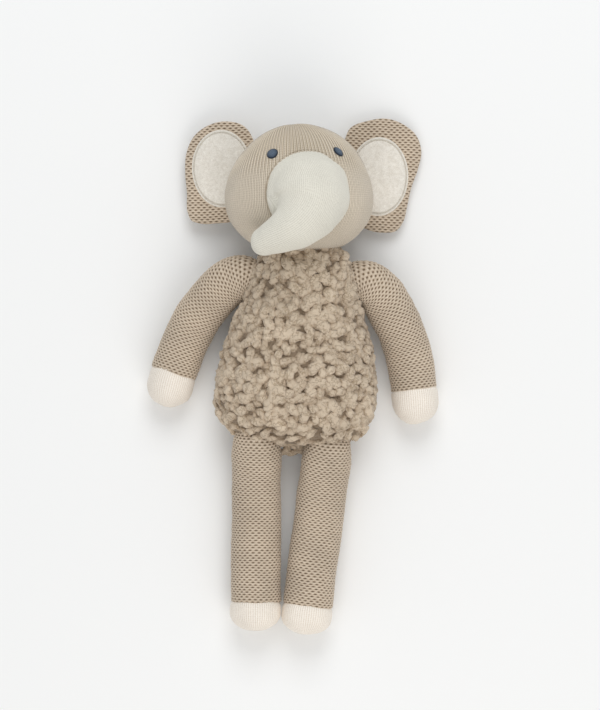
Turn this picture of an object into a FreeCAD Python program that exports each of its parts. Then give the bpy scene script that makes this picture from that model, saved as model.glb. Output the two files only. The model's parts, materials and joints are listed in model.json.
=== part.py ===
import FreeCAD, Part
import os
import Sketcher

# A knitted stuffed elephant lying on its back. Millimetres.
# +Y runs from the feet to the crown, +Z from the back to the belly, +X to the viewer's right.
# Every soft piece is a skin of knitting with its own fibre filling inside it.

V = FreeCAD.Vector
doc = FreeCAD.newDocument("stuffed_elephant")
sizes = doc.addObject("Spreadsheet::Sheet", "sizes")
FILLED_ROWS = 0


def size(alias, value):
    """Store one driving dimension and return the expression that reads it."""
    global FILLED_ROWS
    FILLED_ROWS += 1
    sizes.set(f"A{FILLED_ROWS}", alias)
    sizes.set(f"B{FILLED_ROWS}", str(value))
    sizes.setAlias(f"B{FILLED_ROWS}", alias)
    return f"sizes.{alias}"


# ---------------------------------------------------------------- driving dimensions
NECK_Y = 78.3
knit = size("knit_thickness", 1.5)
pile = size("pile_thickness", 4.0)
gap = size("filling_gap", 0.25)
thread = size("thread_radius", 0.5)
sliver = size("surface_gap", 0.2)

# Head: one ball of knitting, rolled and turned a little on the neck.
HEAD_AT = V(-6.5, NECK_Y + 43.6, 40.6)
HEAD_ROLL = 6.0
HEAD_YAW = 9.0
head_wide = size("head_half_width", 49.0)
head_high = size("head_half_height", 43.5)
head_deep = size("head_half_depth", 40.0)

# Muzzle patch and trunk, in a frame that leans from the face towards the trunk tip.
MUZZLE_AT = V(0.5, -3.0, 0.0)
TRUNK_LEAN = -41.0
TRUNK_ROOT = V(0.0, -12.0, 55.0)
TRUNK_SWEEP = V(0.0, -27.0, 50.0)
MUZZLE_CENTRE = V(0.0, -1.5, 29.0)
muzzle_patch = size("muzzle_patch_radius", 27.4)
muzzle_swell = size("muzzle_half_depth", 27.0)
trunk_ball = size("trunk_root_radius", 15.5)
trunk_sweep = size("trunk_sweep_radius", 21)
eye_wide = size("eye_half_width", 4.1)
eye_high = size("eye_half_height", 3.4)
eye_thick = size("eye_half_thickness", 0.8)
EYE_SPREAD = 22.0
EYE_HEIGHT = 25.0

# Stations of the lofted pieces. Each row is one cross-section, an ellipse:
# name, side shift, distance along, lift, half width, half depth, turn in degrees.
TRUNK = (
    ("root", 0, -1.5, 50.1, 5.0, 4.8, 70),
    ("heel", 0, 1.0, 51.0, 9.6, 9.4, 70),
    ("ball", 0, 5.0, 52.4, 13.4, 13.2, 70),
    ("base", 0, 12.0, 55.0, 15.2, 15.0, 72),
    ("bend", 0, 21.0, 55.0, 14.8, 14.5, 92),
    ("drop", 0, 30.0, 51.5, 13.0, 12.8, 112),
    ("slope", 0, 37.0, 45.5, 10.8, 10.6, 130),
    ("taper", 0, 42.5, 40.0, 9.2, 9.0, 138),
    ("lip", 0, 45.0, 37.2, 6.6, 6.4, 138),
    ("tip", 0, 46.2, 35.9, 3.4, 3.2, 138),
)
TORSO = (
    ("neck", 0, 2.2, 38.0, 26.0, 2.6, 0),
    ("collar", 0, 6.0, 37.0, 30.0, 9.0, 0),
    ("shoulder", 0, 14.0, 34.0, 34.0, 16.5, 0),
    ("chest", 0, 30.0, 30.5, 38.5, 24.5, 0),
    ("waist", 0, 54.0, 28.2, 47.5, 27.8, 0),
    ("belly", 0, 84.0, 28.6, 53.5, 29.0, 0),
    ("seat", 0, 103.0, 27.6, 52.5, 27.0, 0),
    ("hip", 0, 114.0, 26.4, 47.0, 20.5, 0),
    ("hem", 0, 120.0, 25.0, 39.0, 11.5, 0),
    ("seam", 0, 122.6, 24.5, 33.0, 3.4, 0),
)
ARM = (
    ("upper", 17.0, 12.5, -5.5, 13.8, 8.8, 50),
    ("bend", 23.0, 20.0, -8.5, 15.5, 14.2, 42),
    ("fore", 32.0, 35.0, -12.0, 15.5, 15.0, 27),
    ("middle", 38.5, 51.0, -13.0, 15.5, 15.2, 18),
    ("wrist", 43.3, 68.5, -13.2, 15.4, 15.2, 13),
    ("palm", 45.3, 78.0, -13.4, 15.2, 15.0, 10),
    ("knuckle", 46.6, 84.5, -13.8, 12.8, 12.6, 9),
    ("nail", 47.3, 88.2, -14.2, 8.4, 8.2, 9),
    ("tip", 47.5, 89.5, -14.4, 3.6, 3.4, 9),
)
shoulder_pad = (
    size("shoulder_half_reach", 14.0),
    size("shoulder_half_width", 16.0),
    size("shoulder_half_depth", 9.5),
)
SHOULDER_CENTRE = V(15.4, -6.0, -4.0)
LEG = (
    ("root", 0, 1.2, 0.0, 15.2, 1.2, 0),
    ("groin", 0, 5.0, -0.8, 15.6, 5.5, 0),
    ("thigh", 0, 13.0, -2.8, 16.0, 11.5, 0),
    ("knee", 0, 27.0, -6.0, 16.0, 14.8, 0),
    ("calf", 0, 48.0, -7.8, 16.1, 15.8, 0),
    ("shin", 0, 78.0, -7.9, 16.2, 15.9, 0),
    ("ankle", 0, 108.5, -7.8, 16.2, 16.0, 0),
    ("sole", 0, 116.5, -7.9, 15.6, 15.4, 0),
    ("toe", 0, 122.0, -8.2, 12.6, 12.4, 0),
    ("nail", 0, 124.8, -8.6, 8.0, 7.8, 0),
    ("tip", 0, 125.8, -8.8, 3.6, 3.4, 0),
)
EAR = (
    ("root", 10.0, 0.8, 0.0, 19.0, 1.5, 0),
    ("fold", 11.0, 5.5, 0.0, 26.5, 3.1, 0),
    ("inner", 12.5, 12.0, 0.0, 31.5, 4.2, 0),
    ("middle", 13.0, 21.0, 0.0, 33.4, 4.6, 0),
    ("outer", 11.5, 29.0, 0.0, 31.5, 4.4, 0),
    ("rim", 9.5, 34.5, 0.0, 27.0, 3.6, 0),
    ("edge", 8.0, 37.6, 0.0, 20.0, 2.2, 0),
)
lining_thickness = size("ear_lining_thickness", 1.2)
lining_wide = size("ear_lining_half_height", 24.5)
lining_high = size("ear_lining_half_width", 17.0)
LINING_AT = V(12.5, 17.6, 0.0)

# Where the limbs and ears are sewn on.
SHOULDER_SPREAD = 38.6
SHOULDER_DROP = 16.0
SHOULDER_LIFT = 29.0
HIP_SPREAD = 23.6
HIP_DROP = 124.0
HIP_LIFT = 24.5
LEG_TOE_IN = 3.4
EAR_PLACES = {
    "left": FreeCAD.Placement(V(-44.3, NECK_Y + 39.6, 13.6), FreeCAD.Rotation(-84.0, 0, 5.0)),
    "right": FreeCAD.Placement(V(31.5, NECK_Y + 47.6, 6.4), FreeCAD.Rotation(92.0, 0, 1.0)),
}
SIDES = {"left": -1, "right": 1}

STATION_FIELDS = ("side", "along", "lift", "wide", "deep", "turn")


def stations(piece, rows):
    """Put one piece's cross-sections in the sheet and return their expressions."""
    out = []
    for name, *values in rows:
        row = {f: size(f"{piece}_{name}_{f}", v) for f, v in zip(STATION_FIELDS, values)}
        out.append(row)
    return out


trunk = stations("trunk", TRUNK)
torso = stations("torso", TORSO)
arm = stations("arm", ARM)
leg = stations("leg", LEG)
ear = stations("ear", EAR)
doc.recompute()


# ---------------------------------------------------------------- building helpers
def new_body(label, placement):
    body = doc.addObject("PartDesign::Body", label)
    body.Label = label
    body.Placement = placement
    return body


def origin_plane(body, role):
    return [f for f in body.Origin.OriginFeatures if f.Role == role][0]


def ellipse_sketch(body, role, half_wide, half_deep, offset):
    """A sketch on an origin plane holding one ellipse; offset maps properties to expressions."""
    sketch = body.newObject("Sketcher::SketchObject", "section")
    sketch.AttachmentSupport = [(origin_plane(body, role), "")]
    sketch.MapMode = "FlatFace"
    axis, angle = offset.pop("turn", ("y", None))
    if angle:
        turn_axis = V(0, 1, 0) if axis == "y" else V(1, 0, 0)
        sketch.AttachmentOffset = FreeCAD.Placement(V(), FreeCAD.Rotation(turn_axis, 10))
        sketch.setExpression("AttachmentOffset.Rotation.Angle", angle)
    for direction, expression in offset.items():
        sketch.setExpression(f"AttachmentOffset.Base.{direction}", expression)
    ellipse = sketch.addGeometry(Part.Ellipse(V(20, 0, 0), V(0, 10, 0), V(0, 0, 0)))
    sketch.exposeInternalGeometry(ellipse)
    sketch.addConstraint(Sketcher.Constraint("Coincident", ellipse, 3, -1, 1))
    sketch.addConstraint(Sketcher.Constraint("Horizontal", ellipse + 1))
    for line, name, start, half in (
        (ellipse + 1, "width", 40, half_wide),
        (ellipse + 2, "depth", 20, half_deep),
    ):
        index = sketch.addConstraint(Sketcher.Constraint("Distance", line, start))
        sketch.renameConstraint(index, name)
        sketch.setExpression(f"Constraints.{name}", f"2 * ({half})")
    return sketch


def section(body, row, shrink, mirror, bend, pull):
    """One elliptical cross-section of a loft, turned about Z, or about X when it bends."""
    sign = -1 if mirror else 1
    if bend:
        offset = {
            "x": row["side"],
            "y": f"{row['lift']} + ({pull}) * cos({row['turn']} * 1 deg)",
            "z": f"{row['along']} + ({pull}) * sin({row['turn']} * 1 deg)",
            "turn": ("x", f"({row['turn']} - 90) * 1 deg"),
        }
    else:
        offset = {
            "x": f"{sign} * ({row['side']} + ({pull}) * sin({row['turn']} * 1 deg))",
            "y": row["lift"],
            "z": f"{row['along']} + ({pull}) * cos({row['turn']} * 1 deg)",
            "turn": ("y", f"{sign} * {row['turn']} * 1 deg"),
        }
    wide = f"{row['wide']} - ({shrink})"
    deep = f"{row['deep']} - ({shrink})"
    return ellipse_sketch(body, "XZ_Plane", wide, deep, offset)


def loft(body, rows, shrink="0", mirror=False, bend=False, cut=False, ends="0"):
    """Loft through the rows; shrink pulls the sides in, ends pulls the first and last section in."""
    last = len(rows) - 1
    pulls = [ends if i == 0 else f"-({ends})" if i == last else "0" for i in range(len(rows))]
    sketches = [section(body, row, shrink, mirror, bend, pull) for row, pull in zip(rows, pulls)]
    doc.recompute()
    kind = "PartDesign::SubtractiveLoft" if cut else "PartDesign::AdditiveLoft"
    feature = body.newObject(kind, "hollow" if cut else "form")
    feature.Profile = sketches[0]
    feature.Sections = sketches[1:]
    feature.Ruled = True
    doc.recompute()
    return feature


def ellipsoid(body, half_x, half_y, half_z, centre=V(), cut=False, spin=0):
    """An ellipsoid; spin turns its surface seam about Z, away from what it is joined to."""
    kind = "PartDesign::SubtractiveEllipsoid" if cut else "PartDesign::AdditiveEllipsoid"
    feature = body.newObject(kind, "ball")
    feature.setExpression("Radius1", half_z)
    feature.setExpression("Radius2", half_x)
    feature.setExpression("Radius3", half_y)
    feature.AttachmentSupport = [(origin_plane(body, "XY_Plane"), "")]
    feature.MapMode = "FlatFace"
    feature.AttachmentOffset = FreeCAD.Placement(centre, FreeCAD.Rotation(spin, 0, 0))
    doc.recompute()
    return feature


def pocket(body, sketch, reverse):
    feature = body.newObject("PartDesign::Pocket", "trim")
    feature.Profile = sketch
    feature.Type = 1
    feature.Reversed = reverse
    doc.recompute()
    return feature


def box_outline(sketch, half):
    corners = [V(-half, -half, 0), V(half, -half, 0), V(half, half, 0), V(-half, half, 0)]
    for start, end in zip(corners, corners[1:] + corners[:1]):
        sketch.addGeometry(Part.LineSegment(start, end))


def plain_sketch(body, lift=0.0):
    sketch = body.newObject("Sketcher::SketchObject", "outline")
    sketch.AttachmentSupport = [(origin_plane(body, "XY_Plane"), "")]
    sketch.MapMode = "FlatFace"
    sketch.AttachmentOffset = FreeCAD.Placement(V(0, 0, lift), FreeCAD.Rotation())
    return sketch


def trim_side(body, keep_above, lift=0.0):
    """Cut away everything below (or above) a level plane."""
    sketch = plain_sketch(body, lift)
    box_outline(sketch, 150)
    doc.recompute()
    return pocket(body, sketch, reverse=not keep_above)


def trim_round(body, centre, half_wide, half_high, keep_inside):
    """Cut away everything outside (or inside) an upright elliptical column."""
    offset = {"x": str(centre.x), "y": str(centre.y)}
    sketch = ellipse_sketch(body, "XY_Plane", half_wide, half_high, offset)
    if keep_inside:
        box_outline(sketch, 150)
    doc.recompute()
    return pocket(body, sketch, reverse=True)


def stitched_line(label, centre, length_expression, turn):
    """A run of sewing thread lying level along a seam."""
    rod = doc.addObject("Part::Cylinder", label)
    rod.Label = label
    rod.setExpression("Radius", thread)
    rod.setExpression("Height", length_expression)
    doc.recompute()
    along = FreeCAD.Rotation(V(0, 0, 1), turn).multiply(FreeCAD.Rotation(V(0, 1, 0), 90))
    half = along.multVec(V(0, 0, rod.Height.Value / 2))
    rod.Placement = FreeCAD.Placement(centre.sub(half), along)
    return rod


PARTS = []


def keep(*made):
    PARTS.extend(made)


# ---------------------------------------------------------------- head
head_place = FreeCAD.Placement(HEAD_AT, FreeCAD.Rotation(HEAD_ROLL, HEAD_YAW, 0))

head_cover = new_body("head_cover", head_place)
ellipsoid(head_cover, head_wide, head_high, head_deep)
ellipsoid(head_cover, *[f"{r} - {knit}" for r in (head_wide, head_high, head_deep)], cut=True)

head_stuffing = new_body("head_stuffing", head_place)
ellipsoid(head_stuffing, *[f"{r} - {knit} - {gap}" for r in (head_wide, head_high, head_deep)])
keep(head_cover, head_stuffing)


def on_skin(x, y):
    """The height of the head's surface over a point of its frame, and the outward direction there."""
    a, b, c = (sizes.get(name) for name in ("head_half_width", "head_half_height", "head_half_depth"))
    z = c * (1 - (x / a) ** 2 - (y / b) ** 2) ** 0.5
    return V(x, y, z), V(x / a**2, y / b**2, z / c**2).normalize()


for side, sign in SIDES.items():
    point, outward = on_skin(sign * EYE_SPREAD, EYE_HEIGHT)
    lift = sizes.get("eye_half_thickness") + sizes.get("surface_gap")
    facing = FreeCAD.Rotation(V(0, 0, 1), outward)
    local = FreeCAD.Placement(point.add(outward.multiply(lift)), facing)
    eye = new_body(f"eye_{side}", head_place.multiply(local))
    ellipsoid(eye, eye_wide, eye_high, eye_thick)
    keep(eye)

# ---------------------------------------------------------------- muzzle and trunk
lean = FreeCAD.Placement(MUZZLE_AT, FreeCAD.Rotation(V(0, 0, 1), TRUNK_LEAN))
trunk_place = head_place.multiply(lean)
head_centre = lean.inverse().multVec(V())


def clear_of_head(body):
    """Trim a muzzle piece back to the head's skin, the trunk's root and the room it curls in."""
    cutter = body.newObject("PartDesign::SubtractiveEllipsoid", "head_clearance")
    cutter.setExpression("Radius1", f"{head_deep} + {sliver}")
    cutter.setExpression("Radius2", f"{head_wide} + {sliver}")
    cutter.setExpression("Radius3", f"{head_high} + {sliver}")
    cutter.AttachmentSupport = [(origin_plane(body, "XY_Plane"), "")]
    cutter.MapMode = "FlatFace"
    cutter.AttachmentOffset = FreeCAD.Placement(head_centre, FreeCAD.Rotation(V(0, 0, 1), -TRUNK_LEAN))
    ellipsoid(body, *[f"{trunk_ball} + 3 * {sliver}"] * 3, centre=TRUNK_ROOT, cut=True)
    ellipsoid(body, *[trunk_sweep] * 3, centre=TRUNK_SWEEP, cut=True)


muzzle_cover = new_body("muzzle_cover", trunk_place)
muzzle_radii = (muzzle_patch, muzzle_patch, muzzle_swell)
ellipsoid(muzzle_cover, *muzzle_radii, centre=MUZZLE_CENTRE)
ellipsoid(muzzle_cover, *[f"{r} - {knit}" for r in muzzle_radii], centre=MUZZLE_CENTRE, cut=True)
clear_of_head(muzzle_cover)

muzzle_stuffing = new_body("muzzle_stuffing", trunk_place)
ellipsoid(muzzle_stuffing, *[f"{r} - {knit} - {gap}" for r in muzzle_radii], centre=MUZZLE_CENTRE)
clear_of_head(muzzle_stuffing)

trunk_cover = new_body("trunk_cover", trunk_place)
loft(trunk_cover, trunk, bend=True)
loft(trunk_cover, trunk[1:-1], shrink=knit, bend=True, cut=True)

trunk_stuffing = new_body("trunk_stuffing", trunk_place)
loft(trunk_stuffing, trunk[1:-1], shrink=f"{knit} + {gap}", bend=True, ends=gap)
keep(muzzle_cover, muzzle_stuffing, trunk_cover, trunk_stuffing)

# The thread that sews the muzzle patch down follows the curve of the face.
muzzle_seam = new_body("muzzle_seam", head_place)
ellipsoid(muzzle_seam, *[f"{r} + {sliver} + 2 * {thread}" for r in (head_wide, head_high, head_deep)])
ellipsoid(muzzle_seam, *[f"{r} + {sliver}" for r in (head_wide, head_high, head_deep)], cut=True)
trim_side(muzzle_seam, keep_above=True, lift=10.0)
seam_inside = f"{muzzle_patch} + {sliver}"
seam_outside = f"{seam_inside} + 2 * {thread}"
patch_centre = lean.multVec(V(MUZZLE_CENTRE.x, MUZZLE_CENTRE.y, 0))
trim_round(muzzle_seam, patch_centre, f"{seam_outside} + 0.02", seam_outside, keep_inside=True)
trim_round(muzzle_seam, patch_centre, f"{seam_inside} + 0.02", seam_inside, keep_inside=False)
keep(muzzle_seam)

# ---------------------------------------------------------------- ears
for side, sign in SIDES.items():
    place = EAR_PLACES[side]
    mirror = sign < 0
    for panel, above in (("front", True), ("back", False)):
        shell = new_body(f"ear_{side}_{panel}", place)
        loft(shell, ear, mirror=mirror)
        loft(shell, ear[1:], shrink=knit, mirror=mirror, cut=True, ends=knit)
        trim_side(shell, keep_above=above, lift=0.05 if above else -0.05)
        keep(shell)
    wadding = new_body(f"ear_{side}_wadding", place)
    loft(wadding, ear[1:], shrink=f"{knit} + {gap}", mirror=mirror, ends=f"{knit} + {gap}")
    keep(wadding)
    centre = V(sign * LINING_AT.x, -LINING_AT.y, 0)
    for name, inner, outer, ring in (
        ("lining", sliver, f"{sliver} + {lining_thickness}", False),
        ("stitching", f"{sliver} + {lining_thickness} + 0.1", f"{sliver} + {lining_thickness} + 0.9", True),
    ):
        cloth = new_body(f"ear_{side}_{name}", place)
        loft(cloth, ear, shrink=f"-({outer})", mirror=mirror)
        loft(cloth, ear, shrink=f"-({inner})", mirror=mirror, cut=True, ends=f"-{knit}")
        trim_side(cloth, keep_above=True, lift=0.6)
        trim_round(cloth, centre, lining_wide, lining_high, keep_inside=True)
        if ring:
            trim_round(cloth, centre, f"{lining_wide} - 1.6", f"{lining_high} - 1.6", keep_inside=False)
        keep(cloth)

# ---------------------------------------------------------------- torso
torso_place = FreeCAD.Placement(V(0, NECK_Y, 0), FreeCAD.Rotation())
body_cover = new_body("body_cover", torso_place)
loft(body_cover, torso)
loft(body_cover, torso[1:-1], shrink=pile, cut=True)
trim_side(body_cover, keep_above=True)

body_stuffing = new_body("body_stuffing", torso_place)
loft(body_stuffing, torso[1:-1], shrink=f"{pile} + {gap}", ends=gap)
neck_seam = stitched_line("neck_seam", V(-1.0, NECK_Y - 1.5, 38.0), size("neck_seam_length", 40), 0)
keep(body_cover, body_stuffing, neck_seam)

# ---------------------------------------------------------------- arms and legs
ARM_PLACES = {
    "left": FreeCAD.Placement(V(-SHOULDER_SPREAD, NECK_Y - SHOULDER_DROP - 0.5, SHOULDER_LIFT), FreeCAD.Rotation()),
    "right": FreeCAD.Placement(
        V(SHOULDER_SPREAD, NECK_Y - SHOULDER_DROP + 1.5, SHOULDER_LIFT), FreeCAD.Rotation(-3.0, 0, 0)
    ),
}
LEG_PLACES = {
    side: FreeCAD.Placement(
        V(sign * HIP_SPREAD, NECK_Y - HIP_DROP, HIP_LIFT), FreeCAD.Rotation(-sign * LEG_TOE_IN, 0, 0)
    )
    for side, sign in SIDES.items()
}


def limb(name, cap, rows, place, mirror, cuff, full, pad=None):
    """A knitted tube, its end cap and its filling; cuff is the row where the cap is sewn on."""
    tube = new_body(f"{name}_cover", place)
    loft(tube, rows[: cuff + 1], mirror=mirror)
    if pad:
        centre = V((-1 if mirror else 1) * SHOULDER_CENTRE.x, SHOULDER_CENTRE.y, SHOULDER_CENTRE.z)
        ellipsoid(tube, *pad, centre=centre, spin=0 if mirror else 180)
    loft(tube, rows[full : cuff + 1], shrink=knit, mirror=mirror, cut=True, ends=f"-{sliver}")
    end = new_body(f"{name}_{cap}", place)
    loft(end, rows[cuff:], mirror=mirror, ends=sliver)
    loft(end, rows[cuff:-1], shrink=knit, mirror=mirror, cut=True)
    filling = new_body(f"{name}_stuffing", place)
    loft(filling, rows[full:-1], shrink=f"{knit} + {gap}", mirror=mirror, ends=gap)
    keep(tube, end, filling)


shoulder_seam_length = size("shoulder_seam_length", 27)
hip_seam_length = size("hip_seam_length", 28)
for side, sign in SIDES.items():
    mirror = sign < 0
    limb(f"arm_{side}", "paw", arm, ARM_PLACES[side], mirror, cuff=4, full=1, pad=shoulder_pad)
    limb(f"leg_{side}", "foot", leg, LEG_PLACES[side], mirror, cuff=6, full=2)
    shoulder = ARM_PLACES[side].Base.add(V(-sign * 0.9, 0, 0))
    keep(
        stitched_line(f"shoulder_seam_{side}", shoulder, shoulder_seam_length, 90 + sign * 11),
        stitched_line(
            f"hip_seam_{side}", LEG_PLACES[side].Base.add(V(0, 0.75, 0)), hip_seam_length, 0
        ),
    )

# ---------------------------------------------------------------- check and write
doc.recompute()
for item in doc.Objects:
    if "Invalid" in item.State or "Error" in item.State:
        raise RuntimeError(f"{item.Label}: {item.State}")

os.makedirs("parts", exist_ok=True)
for item in PARTS:
    shape = item.Shape
    if shape.isNull() or not shape.isValid() or not shape.Solids:
        raise RuntimeError(f"{item.Label}: no valid solid")
    shape.exportStep(f"parts/{item.Label}.step")
    print(item.Label, len(shape.Solids), round(shape.Volume / 1000, 2))
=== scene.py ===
import json
import math
import bpy
import numpy as np
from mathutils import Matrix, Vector


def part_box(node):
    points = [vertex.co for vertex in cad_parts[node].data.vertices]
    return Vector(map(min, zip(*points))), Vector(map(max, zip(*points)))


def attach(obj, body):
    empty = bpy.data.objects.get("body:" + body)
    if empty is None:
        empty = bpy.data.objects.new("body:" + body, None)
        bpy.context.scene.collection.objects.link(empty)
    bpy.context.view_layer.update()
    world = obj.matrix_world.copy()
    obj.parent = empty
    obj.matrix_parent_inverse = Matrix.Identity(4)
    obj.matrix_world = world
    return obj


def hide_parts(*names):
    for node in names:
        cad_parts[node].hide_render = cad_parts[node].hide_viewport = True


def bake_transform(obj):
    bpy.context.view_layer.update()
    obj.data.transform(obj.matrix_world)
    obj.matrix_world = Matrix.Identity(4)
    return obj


# A knitted stuffed elephant on its back. Shapes are worked out in millimetres and stored in metres.
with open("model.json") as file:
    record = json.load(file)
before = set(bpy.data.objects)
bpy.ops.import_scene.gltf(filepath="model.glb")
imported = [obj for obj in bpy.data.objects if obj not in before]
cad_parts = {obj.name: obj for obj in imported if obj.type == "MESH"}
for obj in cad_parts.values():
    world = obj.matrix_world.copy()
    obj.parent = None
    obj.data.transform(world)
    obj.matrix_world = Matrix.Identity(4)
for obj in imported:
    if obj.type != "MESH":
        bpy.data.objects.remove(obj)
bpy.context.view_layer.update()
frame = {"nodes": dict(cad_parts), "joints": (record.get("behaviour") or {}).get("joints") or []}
MM = 0.001
COARSE = 1.0
JOINTS = {j["name"]: j for j in frame["joints"]}
rng = np.random.default_rng(11)


def mm(values):
    return np.array([v / MM for v in values], float)


def joint_at(name):
    return mm(JOINTS[name]["pos_m"])


def centre_of(node):
    lo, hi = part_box(node)
    return (mm(lo) + mm(hi)) / 2


# ---------------------------------------------------------------- small numeric helpers
def unit(v):
    return v / np.maximum(np.linalg.norm(v, axis=-1, keepdims=True), 1e-9)


def ease(x, low, high):
    t = np.clip((x - low) / (high - low), 0, 1)
    return t * t * (3 - 2 * t)


def spline(points, at):
    """A smooth curve through rows of numbers, read at parameters 0..1 spaced by distance."""
    points = np.asarray(points, float)
    step = np.linalg.norm(np.diff(points[:, :3], axis=0), axis=1)
    knots = np.concatenate([[0], np.cumsum(np.maximum(step, 1e-6))])
    slopes = np.gradient(points, knots, axis=0)
    where = np.clip(np.asarray(at) * knots[-1], 0, knots[-1])
    i = np.clip(np.searchsorted(knots, where, side="right") - 1, 0, len(knots) - 2)
    width = (knots[i + 1] - knots[i])[:, None]
    t = ((where - knots[i]) / width[:, 0])[:, None]
    a = (2 * t**3 - 3 * t**2 + 1) * points[i]
    b = (t**3 - 2 * t**2 + t) * width * slopes[i]
    c = (-2 * t**3 + 3 * t**2) * points[i + 1]
    d = (t**3 - t**2) * width * slopes[i + 1]
    return a + b + c + d


def waves(points, size, seed, strength=1.0):
    """Smooth lumps of about the given size, between -strength and strength."""
    local = np.random.default_rng(seed)
    total = np.zeros(points.shape[:-1])
    for _ in range(7):
        direction = unit(local.normal(size=3)) * (2 * math.pi / (size * local.uniform(0.7, 1.5)))
        total += np.sin(points @ direction + local.uniform(0, 2 * math.pi))
    return total / 4.0 * strength


def grid_normals(p, closed):
    if closed:
        along_u = np.roll(p, -1, axis=1) - np.roll(p, 1, axis=1)
    else:
        along_u = np.gradient(p, axis=1)
    along_v = np.gradient(p, axis=0)
    return unit(np.cross(along_u, along_v))


def turn_z(degrees):
    a = math.radians(degrees)
    return np.array([[math.cos(a), -math.sin(a), 0], [math.sin(a), math.cos(a), 0], [0, 0, 1]])


def turn_y(degrees):
    a = math.radians(degrees)
    return np.array([[math.cos(a), 0, math.sin(a)], [0, 1, 0], [-math.sin(a), 0, math.cos(a)]])


# ---------------------------------------------------------------- meshes
def mesh_piece(name, verts, quads, material, uv=None, values=None, tris=None, period=0):
    """A smooth mesh object from arrays: verts in mm, faces, one UV pair per vertex, named values.
    Where the first UV number runs round with a period, the faces across its start are put right."""
    mesh = bpy.data.meshes.new(name)
    quads = np.asarray(quads, np.int32).reshape(-1, 4)
    tris = np.zeros((0, 3), np.int32) if tris is None else np.asarray(tris, np.int32)
    corners = np.concatenate([quads.ravel(), tris.ravel()])
    starts = np.concatenate([np.arange(len(quads)) * 4, len(quads) * 4 + np.arange(len(tris)) * 3])
    mesh.vertices.add(len(verts))
    mesh.vertices.foreach_set("co", (np.asarray(verts) * MM).astype(np.float32).ravel())
    mesh.loops.add(len(corners))
    mesh.loops.foreach_set("vertex_index", corners.astype(np.int32))
    mesh.polygons.add(len(starts))
    mesh.polygons.foreach_set("loop_start", starts.astype(np.int32))
    mesh.polygons.foreach_set("use_smooth", np.ones(len(starts), bool))
    mesh.update(calc_edges=True)
    if uv is not None:
        layer = mesh.uv_layers.new(name="yarn")
        corner_uv = np.array(uv, np.float32)[corners]
        if period:
            turning = corner_uv[: quads.size, 0].reshape(-1, 4)
            turning += period * (turning < turning.max(axis=1, keepdims=True) - period / 2)
            corner_uv[: quads.size, 0] = turning.ravel()
        layer.data.foreach_set("uv", corner_uv.ravel())
    for key, value in (values or {}).items():
        attribute = mesh.attributes.new(key, "FLOAT", "POINT")
        attribute.data.foreach_set("value", np.asarray(value, np.float32).ravel())
    mesh.validate()
    mesh.materials.append(material)
    piece = bpy.data.objects.new(name, mesh)
    bpy.context.scene.collection.objects.link(piece)
    return piece


def grid_faces(rows, columns, closed, start=0):
    j, i = np.meshgrid(np.arange(rows - 1), np.arange(columns if closed else columns - 1), indexing="ij")
    k = (i + 1) % columns
    a = j * columns + i
    b = j * columns + k
    return np.stack([a, b, b + columns, a + columns], -1).reshape(-1, 4) + start


def grid_piece(
    name, p, material, closed=True, uv=None, values=None, capped=(False, False), toward=None, period=0
):
    """A mesh from a grid of points [row, column, xyz]; a capped end is closed with a fan.
    The faces look toward the given direction, or away from the middle of the piece."""
    toward = p - p.mean(axis=(0, 1)) if toward is None else np.asarray(toward, float)
    if (grid_normals(p, closed) * toward).sum() < 0:
        p = p[:, ::-1]
        uv = None if uv is None else uv[:, ::-1]
        values = {k: v[:, ::-1] for k, v in (values or {}).items()}
    rows, columns = p.shape[:2]
    verts = p.reshape(-1, 3)
    quads = grid_faces(rows, columns, closed)
    uv = None if uv is None else uv.reshape(-1, 2)
    values = {k: v.reshape(-1) for k, v in (values or {}).items()}
    tris = []
    for end, (wanted, row) in enumerate(zip(capped, (0, rows - 1))):
        if not wanted:
            continue
        ring = np.arange(columns) + row * columns
        hub = len(verts)
        verts = np.vstack([verts, p[row].mean(axis=0)])
        if uv is not None:
            uv = np.vstack([uv, uv[ring].mean(axis=0)])
        values = {k: np.append(v, v[ring].mean()) for k, v in values.items()}
        nxt = np.roll(ring, -1)
        fan = [nxt, ring] if end == 0 else [ring, nxt]
        tris.append(np.stack(fan + [np.full(columns, hub)], -1))
    tris = np.vstack(tris) if tris else None
    return mesh_piece(name, verts, quads, material, uv, values, tris, period)


# ---------------------------------------------------------------- node materials
def linear(r, g, b):
    out = []
    for v in (r, g, b):
        v = v / 255
        out.append(v / 12.92 if v <= 0.04045 else ((v + 0.055) / 1.055) ** 2.4)
    return (*out, 1.0)


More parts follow.
